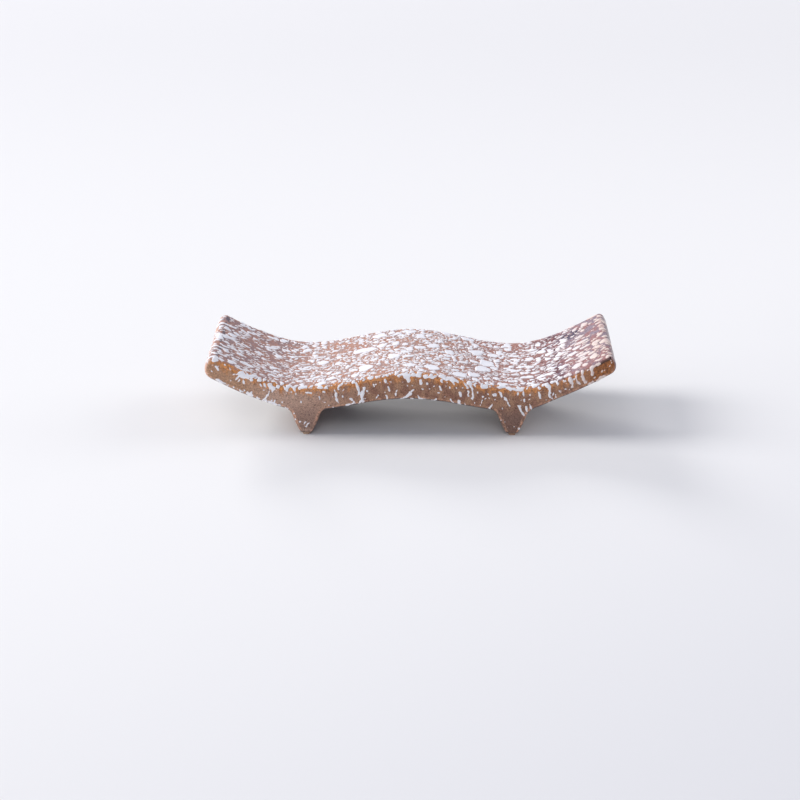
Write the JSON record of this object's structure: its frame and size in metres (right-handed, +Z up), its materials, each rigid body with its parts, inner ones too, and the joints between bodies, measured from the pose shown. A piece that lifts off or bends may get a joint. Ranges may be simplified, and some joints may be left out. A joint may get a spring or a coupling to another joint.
{
  "type": "chopstick rest",
  "caption": "Wave-shaped stoneware chopstick rest on two foot ridges, with two dips on top, under a brown glaze flecked with white.",
  "frame": {"origin": "middle of the footprint, on the surface that the rest stands on", "axes": "+X along the length towards the higher, darker end, +Y from the front face to the back face, +Z up"},
  "size_m": [0.083, 0.029, 0.017],
  "materials": {
    "stoneware": "bare fired clay, dry and fine-grained",
    "brown_glaze": "satin to glossy iron brown, rust orange where it breaks thin on the edges",
    "white_glaze": "raised glossy white islands and runs"
  },
  "bodies": {
    "root": {"wave_slab": "stoneware", "left_foot": "stoneware", "right_foot": "stoneware", "brown_glaze": "brown_glaze", "white_flecks": "white_glaze"}
  },
  "joints": []
}
